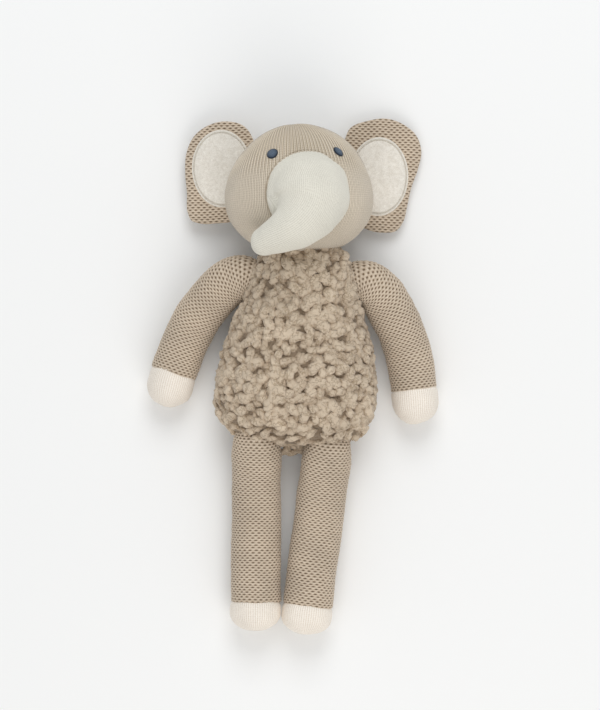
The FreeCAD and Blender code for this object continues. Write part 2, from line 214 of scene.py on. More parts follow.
class Nodes:
    """Short-hand for building one material's node tree."""

    def __init__(self, name, roughness=0.95, sheen=0.3, sheen_roughness=0.45, tint=(1, 1, 1, 1)):
        self.material = bpy.data.materials.new(name)
        self.material.use_nodes = True
        self.tree = self.material.node_tree
        self.shader = self.tree.nodes["Principled BSDF"]
        self.shader.inputs["Roughness"].default_value = roughness
        self.shader.inputs["Specular IOR Level"].default_value = 0.15
        self.shader.inputs["Sheen Weight"].default_value = sheen
        self.shader.inputs["Sheen Roughness"].default_value = sheen_roughness
        self.shader.inputs["Sheen Tint"].default_value = tint

    def link(self, output, target):
        self.tree.links.new(output, target)

    def add(self, kind, **settings):
        node = self.tree.nodes.new(kind)
        for key, value in settings.items():
            setattr(node, key, value)
        return node

    def fill(self, node, index, value):
        if isinstance(value, bpy.types.NodeSocket):
            self.link(value, node.inputs[index])
        else:
            node.inputs[index].default_value = value

    def math(self, operation, a, b=0.0, c=0.0):
        node = self.add("ShaderNodeMath", operation=operation)
        for index, value in enumerate((a, b, c)):
            self.fill(node, index, value)
        return node.outputs[0]

    def value(self, name):
        return self.add("ShaderNodeAttribute", attribute_name=name).outputs["Fac"]

    def uv(self):
        node = self.add("ShaderNodeUVMap", uv_map="yarn")
        parts = self.add("ShaderNodeSeparateXYZ")
        self.link(node.outputs[0], parts.inputs[0])
        return node.outputs[0], parts.outputs[0], parts.outputs[1]

    def place(self):
        return self.add("ShaderNodeTexCoord").outputs["Object"]

    def noise(self, vector, scale, detail=3.0, rough=0.55, stretch=None):
        if stretch:
            squeeze = self.add("ShaderNodeVectorMath", operation="MULTIPLY")
            self.link(vector, squeeze.inputs[0])
            squeeze.inputs[1].default_value = stretch
            vector = squeeze.outputs[0]
        node = self.add("ShaderNodeTexNoise")
        self.link(vector, node.inputs["Vector"])
        node.inputs["Scale"].default_value = scale
        node.inputs["Detail"].default_value = detail
        node.inputs["Roughness"].default_value = rough
        return node.outputs["Fac"]

    def ramp(self, fac, stops):
        node = self.add("ShaderNodeValToRGB")
        self.link(fac, node.inputs[0])
        elements = node.color_ramp.elements
        while len(elements) < len(stops):
            elements.new(0.5)
        for element, (position, colour) in zip(elements, stops):
            element.position = position
            element.color = colour
        return node.outputs[0]

    def mix(self, fac, a, b, blend="MIX"):
        node = self.add("ShaderNodeMix", data_type="RGBA", blend_type=blend)
        self.fill(node, 0, fac)
        self.fill(node, 6, a)
        self.fill(node, 7, b)
        return node.outputs[2]

    def colour(self, socket):
        self.link(socket, self.shader.inputs["Base Color"])

    def bump(self, height, distance, strength=1.0, before=None):
        node = self.add("ShaderNodeBump")
        node.inputs["Strength"].default_value = strength
        node.inputs["Distance"].default_value = distance * MM
        self.link(height, node.inputs["Height"])
        if before:
            self.link(before, node.inputs["Normal"])
        self.link(node.outputs[0], self.shader.inputs["Normal"])
        return node.outputs[0]


def mottled(n, base, scale=38.0, amount=0.10):
    """Slow changes of shade over the cloth, then fine fibre speckle."""
    where = n.place()
    slow = n.noise(where, scale, 2.0)
    shade = n.ramp(slow, [(0.3, (1 - amount,) * 3 + (1,)), (0.7, (1 + amount * 0.6,) * 3 + (1,))])
    first = n.mix(1.0, base, shade, "MULTIPLY")
    speck = n.noise(where, 1500.0, 2.0, 0.7)
    dots = n.ramp(speck, [(0.25, (0.86, 0.85, 0.83, 1)), (0.75, (1.08, 1.08, 1.08, 1))])
    return n.mix(1.0, first, dots, "MULTIPLY")


def yarn_material(name, dark, middle, light, fibre=0.12, sheen=0.3, shaded_creases=False):
    """Wool yarn in relief with painted shade: dark between the yarns, pale on their crowns, with fine fibres."""
    n = Nodes(name, sheen=sheen, tint=(1.0, 0.96, 0.9, 1))
    depth = n.value("crown")
    vector, _, _ = n.uv()
    strands = n.noise(vector, 3.0, 3.0, 0.6, stretch=(1.0, 7.0, 1.0))
    depth = n.math("ADD", depth, n.math("MULTIPLY", n.math("SUBTRACT", strands, 0.5), 0.25))
    # Painted shade: the ramp goes from the dark colour where the yarn lies low to the pale colour on its crowns.
    base = n.ramp(depth, [(0.08, dark), (0.5, middle), (0.95, light)])
    fine = n.noise(n.place(), 2600.0, 2.0, 0.7)
    both = n.math("ADD", n.math("MULTIPLY", strands, 0.8), n.math("MULTIPLY", fine, 0.5))
    # Creases: fine fold lines get painted shade in their colour and a little bump.
    if shaded_creases:
        fold = n.math("ABSOLUTE", n.math("SUBTRACT", n.noise(n.place(), 210.0, 2.0, 0.6), 0.5))
        fold = n.math("MINIMUM", n.math("MULTIPLY", fold, 26.0), 1.0)
        shade = n.ramp(fold, [(0.0, (0.72, 0.67, 0.6, 1)), (1.0, (1.04, 1.04, 1.04, 1))])
        base = n.mix(1.0, base, shade, "MULTIPLY")
        both = n.math("ADD", both, n.math("MULTIPLY", fold, 0.5))
    n.colour(mottled(n, base))
    n.bump(both, fibre * 1.6, 0.8)
    return n.material


def stitch_height(n):
    """Height of plain knitting from UVs counted in wales across and courses along."""
    _, across, along = n.uv()
    leg = n.math("ABSOLUTE", n.math("SUBTRACT", n.math("FRACT", across), 0.5))
    wale = n.math("COSINE", n.math("MULTIPLY", leg, math.pi))
    course = n.math("COSINE", n.math("MULTIPLY", n.math("ADD", along, leg), 2 * math.pi))
    return n.math("ADD", n.math("MULTIPLY", wale, 0.85), n.math("MULTIPLY", course, 0.12))


def jersey_material(name, dark, middle, light, depth=0.22, groove_shade=None):
    """Fine plain knitting: rows of small V stitches with painted shade where they lie low; a knit with rib grooves
    can get more painted shade in those grooves.
    """
    n = Nodes(name, sheen=0.25, tint=(1.0, 0.98, 0.95, 1))
    height = stitch_height(n)
    # Painted shade: the ramp is darkest where the stitches lie low.
    base = n.ramp(height, [(0.05, dark), (0.5, middle), (0.9, light)])
    # Painted shade in the rib grooves, multiplied in where the groove value is high.
    if groove_shade:
        base = n.mix(n.value("groove"), base, groove_shade, "MULTIPLY")
    n.colour(mottled(n, base, amount=0.05))
    fine = n.noise(n.place(), 2400.0, 2.0, 0.7)
    total = n.math("ADD", height, n.math("MULTIPLY", fine, 0.35))
    n.bump(total, depth, 0.8)
    return n.material


def felt_material(name, dark, light):
    n = Nodes(name, sheen=0.5, tint=(1.0, 0.98, 0.95, 1))
    where = n.place()
    cloud = n.noise(where, 420.0, 4.0, 0.65)
    n.colour(mottled(n, n.ramp(cloud, [(0.3, dark), (0.7, light)]), amount=0.04))
    fine = n.noise(where, 1900.0, 3.0, 0.75)
    n.bump(n.math("ADD", cloud, n.math("MULTIPLY", fine, 0.6)), 0.25, 0.7)
    return n.material


def thread_material(name, dark, light, gloss=0.55, shaded=False):
    n = Nodes(name, roughness=gloss, sheen=0.15)
    vector, _, _ = n.uv()
    twist = n.noise(vector, 5.0, 2.0, 0.6, stretch=(1.0, 0.35, 1.0))
    # A shaded thread is painted darker where its crown value is low: painted shade.
    if shaded:
        twist = n.math("MULTIPLY", twist, n.value("crown"))
    n.colour(n.ramp(twist, [(0.3, dark), (0.75, light)]))
    n.bump(twist, 0.12, 0.7)
    return n.material


def fill_material(name):
    n = Nodes(name, roughness=0.9, sheen=0.4)
    where = n.place()
    cloud = n.noise(where, 260.0, 5.0, 0.7)
    n.colour(n.ramp(cloud, [(0.3, linear(214, 212, 205)), (0.7, linear(246, 245, 241))]))
    n.bump(cloud, 0.8, 0.9)
    return n.material


# In each yarn colour set the first colour is painted shade for the low yarn between the crowns.
GARTER = yarn_material("garter_wool", linear(122, 104, 84), linear(193, 175, 154), linear(221, 206, 187))
PILE = yarn_material(
    "loop_pile_wool", linear(104, 86, 66), linear(180, 160, 137), linear(214, 197, 175), 0.5, shaded_creases=True
)
# Head knit: the darkest colour is painted shade low between the stitches; the extra colour multiplies painted shade
# into the rib grooves.
HEAD = jersey_material(
    "head_wool", linear(164, 149, 128), linear(208, 196, 178), linear(228, 218, 202), 0.3,
    groove_shade=linear(236, 231, 222),
)
# The paw and muzzle jerseys also get painted shade low between their stitches.
CAP = jersey_material("cap_jersey", linear(228, 216, 202), linear(248, 239, 227), linear(252, 246, 237), 0.16)
MUZZLE = jersey_material(
    "muzzle_jersey", linear(212, 209, 197), linear(228, 225, 213), linear(234, 231, 220), 0.13
)
FELT = felt_material("cream_felt", linear(222, 216, 205), linear(240, 236, 228))
NAVY = thread_material("navy_thread", linear(34, 43, 56), linear(112, 128, 146), 0.5, True)
HEAD_THREAD = thread_material("beige_thread", linear(150, 135, 115), linear(196, 182, 162), 0.8)
SEWING = thread_material("cream_thread", linear(196, 188, 172), linear(236, 230, 218), 0.7)
FIBRE = fill_material("fibre_fill")


# ---------------------------------------------------------------- knitting in relief
def garter_height(across, along, seed=0):
    """Garter stitch: wavy ridges that meet and part in turn. Coordinates count stitches and ridges."""
    best = np.zeros_like(across)
    wobble = 0.05 * np.sin(across * 1.3 + seed) + 0.05 * np.sin(along * 0.9 + seed * 2)
    for step in (-1, 0, 1):
        ridge = np.floor(along) + step
        phase = 0.5 * np.mod(ridge, 2)
        middle = ridge + 0.5 + 0.17 * np.cos(2 * math.pi * (across + phase)) + wobble
        distance = np.abs(along - middle) / 0.47
        crown = 0.88 - 0.10 * np.mod(ridge, 2) + 0.12 * np.cos(2 * math.pi * (across + phase))
        best = np.maximum(best, np.sqrt(np.clip(1 - distance**2, 0, 1)) * crown)
    return best


def limb_grid(stations, length_step, around):
    """Points, outward directions, distance along and angle for a tube with elliptical sections.
    Each station is x, y, z, half width, half depth in millimetres."""
    stations = np.asarray(stations, float)
    length = np.linalg.norm(np.diff(stations[:, :3], axis=0), axis=1).sum()
    rows = int(length / length_step)
    line = spline(stations, np.linspace(0, 1, rows))
    centre = line[:, :3]
    ahead = unit(np.gradient(centre, axis=0))
    wide = unit(np.cross(np.array([0, 0, 1.0]), ahead))
    deep = unit(np.cross(ahead, wide))
    angle = np.linspace(0, 2 * math.pi, around, endpoint=False)
    c, s = np.cos(angle)[None, :, None], np.sin(angle)[None, :, None]
    half_width, half_depth = line[:, 3, None, None], line[:, 4, None, None]
    p = centre[:, None] + wide[:, None] * c * half_width + deep[:, None] * s * half_depth
    travel = np.concatenate([[0], np.cumsum(np.linalg.norm(np.diff(centre, axis=0), axis=1))])
    return p, travel, angle


# Knitting sizes in millimetres: garter ridges and stitches, plain-knit wales and courses.
RIDGE = 1.62
STITCH = 3.85
GARTER_DEPTH = 0.85
LIMB_STITCHES = 26
POINTS_PER_STITCH = 8
GARTER_ROW_STEP = 0.28
CAP_ROW_STEP = 0.55
CAP_COLUMNS = 150
CAP_COURSE = 1.15
WALE = 1.35
COURSE = 1.25
CUFF_ROUNDING = 2.2


def garter_tube(name, stations, lumps, seed):
    """A garter-stitch tube; the stations run from the sewn end to the cuff."""
    around = int(LIMB_STITCHES * POINTS_PER_STITCH / COARSE) // 2 * 2
    p, travel, angle = limb_grid(stations, GARTER_ROW_STEP * COARSE, around)
    normal = grid_normals(p, True)
    p = p + normal * (waves(p, 26, seed, lumps) + waves(p, 9, seed + 1, 0.18))[..., None]
    across = np.broadcast_to(angle / (2 * math.pi) * LIMB_STITCHES, p.shape[:2])
    along = np.broadcast_to((travel / RIDGE)[:, None], p.shape[:2])
    warp_a = across + waves(p, 14, seed + 2, 0.06)
    warp_b = along + waves(p, 18, seed + 3, 0.10)
    height = garter_height(warp_a, warp_b, seed)
    closing = ease(travel[-1] - travel, 0.0, CUFF_ROUNDING)[:, None]
    skin = p + normal * ((height - 0.75) * GARTER_DEPTH * closing - 2.4 * (1 - closing) ** 2)[..., None]
    uv = np.stack([warp_a, warp_b], -1)
    # The stitch height is kept as the crown value, which gives painted shade between the ridges.
    piece = grid_piece(
        name, skin, GARTER, uv=uv, values={"crown": height}, capped=(True, False), period=LIMB_STITCHES
    )
    return piece, p, normal


def jersey_cap(name, stations, seed, wales):
    """A plain-knit end cap with a rounded tip, from the seam outwards."""
    p, travel, angle = limb_grid(stations, CAP_ROW_STEP * COARSE, int(CAP_COLUMNS / COARSE))
    normal = grid_normals(p, True)
    p = p + normal * waves(p, 17, seed, 0.35)[..., None]
    across = np.broadcast_to(angle / (2 * math.pi) * wales, p.shape[:2])
    along = np.broadcast_to((travel / CAP_COURSE)[:, None], p.shape[:2])
    uv = np.stack([across, along], -1)
    return grid_piece(name, p, CAP, uv=uv, capped=(True, True), period=wales)


def stuffing(name, p, normal, inset=2.6):
    """Loose fibre filling that follows the inside of a skin."""
    rows, columns = slice(None, None, 7), slice(None, None, 6)
    inner = (p - normal * inset)[rows, columns]
    inner = inner + unit(normal[rows, columns]) * waves(inner, 6, 5, 0.35)[..., None]
    return grid_piece(name, inner, FIBRE, capped=(True, True))


def finish_piece(piece, bodies, slot, nodes, fill=None, start=None, end=None):
    """Hang a piece on the body it rides on, or only bake its place into its mesh when it spans two bodies, and hide
    the CAD nodes it stands for. The material slot is not used.
    """
    if len(bodies) == 2:
        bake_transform(piece)
    else:
        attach(piece, bodies[0])
    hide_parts(*nodes)


# ---------------------------------------------------------------- arms and legs
# Stations from the sewn end: outwards, towards the feet, lift, half width, half depth.
ARM = [
    (-15.0, 8.0, 0.0, 5.0, 5.0),
    (-9.0, 3.5, 0.2, 10.4, 8.6),
    (-1.5, 0.6, 0.2, 13.8, 11.2),
    (8.0, 3.4, -2.0, 15.2, 12.6),
    (17.0, 11.0, -5.5, 15.7, 13.8),
    (25.0, 22.0, -9.0, 15.7, 14.6),
    (32.5, 35.5, -12.0, 15.6, 15.0),
    (38.6, 51.0, -13.0, 15.4, 15.1),
    (43.2, 68.2, -13.2, 15.2, 15.1),
]
PAW = [
    (42.4, 65.2, -13.2, 13.6, 13.5),
    (43.2, 68.0, -13.2, 15.0, 14.8),
    (44.3, 73.0, -13.3, 15.3, 15.1),
    (45.3, 78.5, -13.4, 14.9, 14.7),
    (46.2, 83.2, -13.7, 12.7, 12.5),
    (46.8, 86.6, -14.0, 9.2, 9.0),
    (47.2, 88.7, -14.2, 5.0, 4.9),
    (47.4, 89.4, -14.3, 1.5, 1.5),
]
LEG = [
    (0, -9.0, 1.0, 13.0, 9.0),
    (0, -1.0, 0.0, 15.0, 12.0),
    (0, 8.0, -2.2, 16.2, 13.6),
    (0, 22.0, -5.4, 16.2, 15.0),
    (0, 45.0, -7.7, 16.3, 15.6),
    (0, 78.0, -7.8, 16.5, 15.8),
    (0, 108.3, -7.8, 16.4, 15.9),
]
FOOT = [
    (0, 105.4, -7.8, 14.6, 14.4),
    (0, 108.2, -7.8, 16.2, 15.8),
    (0, 113.5, -7.8, 16.9, 16.2),
    (0, 118.8, -7.9, 15.8, 15.3),
    (0, 122.6, -8.1, 12.6, 12.3),
    (0, 125.2, -8.3, 8.0, 7.8),
    (0, 126.4, -8.4, 3.6, 3.6),
    (0, 126.7, -8.4, 1.2, 1.2),
]
SIDES = {"left": -1, "right": 1}
ARM_SWING = {"left": 0.0, "right": -3.0}
LEG_TOE_IN = 3.4
PAW_WALES = 64
FOOT_WALES = 68


def placed(stations, origin, side, turn):
    """Move a limb's stations to its joint; the second number of a station runs towards the feet."""
    rotation = turn_z(turn)
    out = []
    for x, y, z, wide, deep in stations:
        point = rotation @ np.array([side * x, -y, z]) + origin
        out.append((*point, wide, deep))
    return out


for side, sign in SIDES.items():
    shoulder = joint_at(f"shoulder_{side}")
    turn = ARM_SWING[side]
    rows = placed(ARM, shoulder, sign, turn)
    sleeve, p, normal = garter_tube(f"arm_{side}_skin", rows, 0.5, 21 + sign)
    outward = turn_z(turn) @ np.array([sign * 1.0, -0.25, 0])
    bend = (("torso", f"arm_{side}"), shoulder - outward * 5, shoulder + outward * 20)
    finish_piece(sleeve, bend[0], "garter_knit", [f"arm_{side}_cover"], 0.7, *bend[1:])
    filling = stuffing(f"arm_{side}_filling", p, normal)
    finish_piece(filling, bend[0], "fibre_fill", [f"arm_{side}_stuffing"], 0.7, *bend[1:])
    paw = jersey_cap(f"arm_{side}_mitten", placed(PAW, shoulder, sign, turn), 31 + sign, PAW_WALES)
    finish_piece(paw, [f"arm_{side}"], "cream_jersey", [f"arm_{side}_paw"], 0.7)

    hip = joint_at(f"hip_{side}")
    turn = -sign * LEG_TOE_IN
    rows = placed(LEG, hip, sign, turn)
    trouser, p, normal = garter_tube(f"leg_{side}_skin", rows, 0.45, 41 + sign)
    down = np.array([0, -1.0, 0])
    bend = (("torso", f"leg_{side}"), hip - down * 6, hip + down * 24)
    finish_piece(trouser, bend[0], "garter_knit", [f"leg_{side}_cover"], 0.7, *bend[1:])
    filling = stuffing(f"leg_{side}_filling", p, normal)
    finish_piece(filling, bend[0], "fibre_fill", [f"leg_{side}_stuffing"], 0.7, *bend[1:])
    sock = jersey_cap(f"leg_{side}_sock", placed(FOOT, hip, sign, turn), 51 + sign, FOOT_WALES)
    finish_piece(sock, [f"leg_{side}"], "cream_jersey", [f"leg_{side}_foot"], 0.7)

# ---------------------------------------------------------------- torso: base cloth and curled loops
# Distance from the neck, half width, half depth, height of the middle; all at the base cloth.
TORSO = [
    (-6.0, 18.0, 12.0, 38.5),
    (0.0, 24.0, 15.0, 38.0),
    (6.0, 27.0, 17.0, 36.5),
    (14.0, 30.0, 19.0, 34.0),
    (30.0, 34.5, 21.0, 31.0),
    (54.0, 43.0, 24.0, 29.0),
    (84.0, 49.0, 25.4, 29.2),
    (103.0, 48.0, 23.6, 28.2),
    (113.0, 43.0, 19.0, 27.0),
    (119.0, 35.0, 12.5, 25.6),
    (122.0, 26.0, 6.0, 25.0),
    (123.0, 14.0, 2.0, 24.8),
]
neck = joint_at("head_nod") * np.array([0, 1, 0]) + np.array([0, 1.1, 0])
torso_rows = np.array([(0, -t[0], t[3], t[1], t[2]) for t in TORSO], float)


def torso_point(along, angle):
    """A point on the torso's base cloth, the outward direction and the way along the body there."""
    row, near, far = (spline(torso_rows, np.clip(np.atleast_1d(along) + k, 0, 1)) for k in (0, 0.004, -0.004))
    c, s = np.cos(angle), np.sin(angle)
    centre = row[:, :3] + neck
    wide, deep = row[:, 3], row[:, 4]
    flat = np.zeros_like(wide)
    p = centre + np.stack([wide * c, flat, deep * s], -1)
    change = near - far
    ahead = change[:, :3] + np.stack([change[:, 3] * c, flat, change[:, 4] * s], -1)
    normal = unit(np.cross(ahead, np.stack([-wide * s, flat, deep * c], -1)))
    flip = np.sign((normal * (p - centre)).sum(-1, keepdims=True))
    flip[flip == 0] = 1
    return p, normal * flip, unit(ahead)


# The ground cloth under the curls is coloured with painted shade: its crown value BASE_SHADE sits low on the pile
# ramp, so the gaps between curls look dark.
BASE_SHADE = 0.3
rows, columns = 110, 150
t = np.linspace(0, 1, rows)
a = np.linspace(0, 2 * math.pi, columns, endpoint=False)
tt, aa = np.meshgrid(t, a, indexing="ij")
base_p, base_n, _ = torso_point(tt.ravel(), aa.ravel())
base_p = base_p.reshape(rows, columns, 3)
base_n = base_n.reshape(rows, columns, 3)
base_p = base_p + base_n * (1.8 + waves(base_p, 6, 3, 0.7))[..., None]
base_uv = np.stack([aa * 20, tt * 60], -1)
cloth = grid_piece(
    "torso_shaded_ground_cloth", base_p, PILE, uv=base_uv, values={"crown": np.full((rows, columns), BASE_SHADE)},
    capped=(True, True),
)
finish_piece(cloth, ["torso"], "loop_pile", [], 0.7)
torso_fill = stuffing("torso_filling", base_p, base_n, 1.6)
finish_piece(torso_fill, ["torso"], "fibre_fill", ["body_stuffing"], 0.7)

LOOP_SPACING = 5.6
LOOP_SEGMENTS = 17
LOOP_SIDES = 18
LOOP_SIZE = (2.3, 4.3)
LOOP_THICKNESS = (2.4, 3.9)
LOOP_FLATNESS = 0.68
PILE_LENGTH = 129.0
WAIST = 72.0


def loop_curve(origin, outward, ahead, kind, size, turn, local):
    """The middle line of one curl: it leaves the cloth, curls over sideways and goes back in."""
    side = np.cross(outward, ahead)
    x = ahead * math.cos(turn) + side * math.sin(turn)
    y = np.cross(outward, x)
    t = np.linspace(0, 1, LOOP_SEGMENTS)
    if kind < 0.55:
        sweep = math.radians(local.uniform(170, 290))
        angle = (t - 0.5) * sweep
        px, py = np.sin(angle) * size, (np.cos(angle) - 0.5) * size
    elif kind < 0.85:
        sweep = math.radians(local.uniform(120, 190))
        angle = (t - 0.5) * sweep
        px, py = (t - 0.5) * size * 2.9, np.sin(angle * 2) * size * 0.42
    else:
        px, py = (t - 0.5) * size * 2.6, (t - 0.5) ** 2 * size * local.uniform(-1.4, 1.4)
    rise = np.sin(t * math.pi) ** 0.55
    height = -2.4 + rise * local.uniform(3.6, 5.4) + 0.5 * np.sin(t * 7 + local.uniform(0, 6))
    return origin + px[:, None] * x + py[:, None] * y + height[:, None] * outward


def loops_on(places):
    """All the curls as one set of arrays: vertices, faces, UVs and crown values."""
    verts, faces, uvs, crowns = [], [], [], []
    start = 0
    ring = math.pi / 2 + np.linspace(0, 2 * math.pi, LOOP_SIDES, endpoint=False)
    for index, (origin, outward, ahead) in enumerate(places):
        local = np.random.default_rng(1000 + index)
        size = local.uniform(*LOOP_SIZE)
        line = loop_curve(origin, outward, ahead, local.random(), size, local.uniform(0, 2 * math.pi), local)
        direction = unit(np.gradient(line, axis=0))
        first = unit(np.cross(direction, outward[None] + 0.001))
        second = np.cross(direction, first)
        t = np.linspace(0, 1, LOOP_SEGMENTS)
        taper = 0.55 + 0.45 * np.sin(np.clip(t * 1.04 - 0.02, 0, 1) * math.pi) ** 0.5
        thick = local.uniform(*LOOP_THICKNESS) * taper
        thick = thick * (1 + 0.08 * np.sin(t * local.uniform(8, 14) + local.uniform(0, 6)))
        twist = ring[None] * 4 + t[:, None] * local.uniform(3, 7) + local.uniform(0, 6)
        ridged = 1 + 0.09 * np.sin(twist) + 0.07 * np.sin(twist * 1.25 + 1)
        radius = thick[:, None] * ridged
        p = (
            line[:, None]
            + first[:, None] * (np.cos(ring)[None] * radius)[..., None]
            + second[:, None] * (np.sin(ring)[None] * radius * LOOP_FLATNESS)[..., None]
        )
        above = (p - origin) @ outward
        verts.append(p.reshape(-1, 3))
        faces.append(grid_faces(LOOP_SEGMENTS, LOOP_SIDES, True, start))
        strand_uv = np.meshgrid(t * 3 + index * 7.3, ring / 13.0, indexing="ij")
        uvs.append(np.stack(strand_uv, -1).reshape(-1, 2))
        # The crown value rises with height above the cloth, so the curls get painted shade low down and paler tops.
        crowns.append(np.clip(0.1 + above / 5.0, 0, 1).ravel())
        start += LOOP_SEGMENTS * LOOP_SIDES
    return np.vstack(verts), np.vstack(faces), np.vstack(uvs), np.concatenate(crowns)


def scatter_loops():
    """Evenly jittered places on the torso: rings of places, each ring turned a little."""
    places = []
    ring_count = int(PILE_LENGTH / (LOOP_SPACING * 0.86))
    for k in range(ring_count):
        along = (k + 0.5) / ring_count
        row = spline(torso_rows, np.array([along]))[0]
        wide, deep = row[3], row[4]
        girth = math.pi * (3 * (wide + deep) - math.sqrt((3 * wide + deep) * (wide + 3 * deep)))
        count = max(6, int(girth / LOOP_SPACING))
        for i in range(count):
            jitter = rng.uniform(-0.36, 0.36, 2)
            even = 2 * math.pi * (i + 0.5 * (k % 2) + jitter[0]) / count
            stretched = math.atan2(math.sin(even) * wide**0.35, math.cos(even) * deep**0.35)
            where = np.clip(along + jitter[1] / ring_count, 0.01, 0.985)
            p, n, ahead = torso_point(where, np.array([stretched]))
            places.append((p[0], n[0], ahead[0]))
    return places


loop_places = scatter_loops()
waist = neck[1] - WAIST
quarters = {"chest": [], "belly": [], "back": [], "seat": []}
for place in loop_places:
    upper = place[0][1] > waist
    front = place[1][2] >= 0
    quarters[("chest" if upper else "belly") if front else ("back" if upper else "seat")].append(place)
# A tuft of pile under the seat, between the legs.
for k in range(9):
    under = neck + np.array([-6.0 + 6.0 * (k % 3), -121.0 - 3.6 * (k // 3), 18.0 - 2.0 * (k // 3)])
    quarters["seat"].append((under, unit(np.array([0.0, -0.55, 0.8])), np.array([0.0, -0.82, -0.57])))
for quarter, chosen in quarters.items():
    verts, faces, uvs, crowns = loops_on(chosen)
    lumps = np.stack([waves(verts, 2.8, 81 + k, 0.42) for k in range(3)], -1)
    verts = verts + lumps * ease(crowns, 0.1, 0.5)[:, None]
    verts[:, 2] = np.maximum(verts[:, 2], 0.15)
    curls = mesh_piece(f"torso_loops_{quarter}", verts, faces, PILE, uvs, {"crown": crowns})
    finish_piece(curls, ["torso"], "loop_pile", ["body_cover"] if quarter == "belly" else [])

# ---------------------------------------------------------------- head
# The head is fuller at the cheeks than at the crown, and its ribs meet behind the crown.
HEAD_TURN = turn_z(6.0) @ turn_y(9.0)
HEAD_RADII = np.array([48.6, 43.5, 40.0])
CHEEKS = 0.15
HEAD_DROP = 1.3
head_centre = centre_of("head_cover")


def head_world(local):
    return np.asarray(local) @ HEAD_TURN.T + head_centre


def head_height(x, y):
    """Height of the face over a point of the head's own frame."""
    high = (y + HEAD_DROP) / HEAD_RADII[1]
    inside = 1 - (x / HEAD_RADII[0] / (1 - CHEEKS * high)) ** 2 - high**2
    return HEAD_RADII[2] * np.sqrt(np.clip(inside, 0, 1))


WALES = 224
RIB_DEPTH = 0.68
CROWN_LEAN = 27.0
HEAD_COLUMNS = 560
HEAD_ROWS = 176
CROWN_FOLDS = 26
polar = np.linspace(0.03, math.pi - 0.02, int(HEAD_ROWS / COARSE))
angle = np.linspace(math.pi, 3 * math.pi, int(HEAD_COLUMNS / COARSE), endpoint=False)
pp, aa = np.meshgrid(polar, angle, indexing="ij")
sphere = np.stack([np.sin(pp) * np.sin(aa), -np.cos(pp), np.sin(pp) * np.cos(aa)], -1)
lean = math.radians(CROWN_LEAN) * ease(-np.cos(pp), -0.3, 1.0)
sphere[..., 1], sphere[..., 2] = (
    sphere[..., 1] * np.cos(lean) + sphere[..., 2] * np.sin(lean),
    sphere[..., 2] * np.cos(lean) - sphere[..., 1] * np.sin(lean),
)
p = sphere * HEAD_RADII - np.array([0, HEAD_DROP, 0])
p[..., 0] *= 1 - CHEEKS * sphere[..., 1]
normal = unit(sphere / HEAD_RADII)
p = p + normal * (waves(p, 40, 61, 0.7) + waves(p, 13, 62, 0.22))[..., None]
wale = aa / (2 * math.pi) * WALES
forehead = ease(p[..., 1], 2.0, 20.0) * ease(p[..., 2], -30.0, 0.0)
narrow = np.clip(np.sin(pp) * 1.6, 0.25, 1)
rib = np.cos(math.pi * (wale + waves(p, 30, 63, 0.25)))
gather = ease(-np.cos(pp), 0.93, 0.995)
relief = RIB_DEPTH * narrow * (0.18 + 0.82 * forehead) * (np.abs(rib) ** 0.8 * np.sign(rib) * 0.5)
skin = p + normal * (relief - 0.7 * gather * (0.5 + 0.5 * np.cos(aa * CROWN_FOLDS)))[..., None]
course = polar[:, None] * 43.0 / COURSE + 0 * aa
head_uv = np.stack([wale, course], -1)
# The groove value marks the rib grooves, mostly on the forehead, where the head knit gets painted shade.
head_skin = grid_piece(
    "head_skin", head_world(skin), HEAD, uv=head_uv, values={"groove": (0.5 - 0.5 * rib) ** 1.6 * forehead},
    capped=(True, True), period=WALES,
)
finish_piece(head_skin, ["head"], "head_knit", ["head_cover"], 0.8)
head_fill = stuffing("head_filling", head_world(p), normal @ HEAD_TURN.T, 2.4)
finish_piece(head_fill, ["head"], "fibre_fill", ["head_stuffing"], 0.8)

# ---------------------------------------------------------------- muzzle and trunk
# The middle line in the head's frame with the radius at each station.
TRUNK = [
    (0.7, -3.0, 22.0, 24.0),
    (0.6, -4.5, 30.0, 25.5),
    (-0.2, -9.5, 36.5, 25.0),
    (-3.0, -17.0, 41.0, 21.6),
    (-10.2, -25.2, 43.5, 17.0),
    (-18.8, -30.5, 42.0, 13.2),
    (-25.8, -33.6, 38.6, 10.8),
    (-29.8, -35.4, 35.8, 9.5),
]
PATCH_CENTRE = np.array([0.2, -4.9])
PATCH_RADIUS = 29.2


def solid_union(parts, voxel, passes):
    """Melt closed pieces into one smooth skin and return its points and quads in mm."""
    for part in parts[1:]:
        join = parts[0].modifiers.new("join", "BOOLEAN")
        join.operation = "UNION"
        join.object = part
        join.solver = "EXACT"
    melt = parts[0].modifiers.new("melt", "REMESH")
    melt.mode = "VOXEL"
    melt.voxel_size = voxel * MM
    soft = parts[0].modifiers.new("soft", "SMOOTH")
    soft.factor = 0.5
    soft.iterations = passes
    fine = parts[0].modifiers.new("fine", "SUBSURF")
    fine.levels = 1
    graph = bpy.context.evaluated_depsgraph_get()
    mesh = bpy.data.meshes.new_from_object(parts[0].evaluated_get(graph))
    verts = np.zeros(len(mesh.vertices) * 3)
    mesh.vertices.foreach_get("co", verts)
    normals = np.zeros(len(mesh.vertices) * 3)
    mesh.vertices.foreach_get("normal", normals)
    quads = np.array([tuple(f.vertices) for f in mesh.polygons if len(f.vertices) == 4])
    bpy.data.meshes.remove(mesh)
    for part in parts:
        bpy.data.objects.remove(part)
    return verts.reshape(-1, 3) / MM, normals.reshape(-1, 3), quads


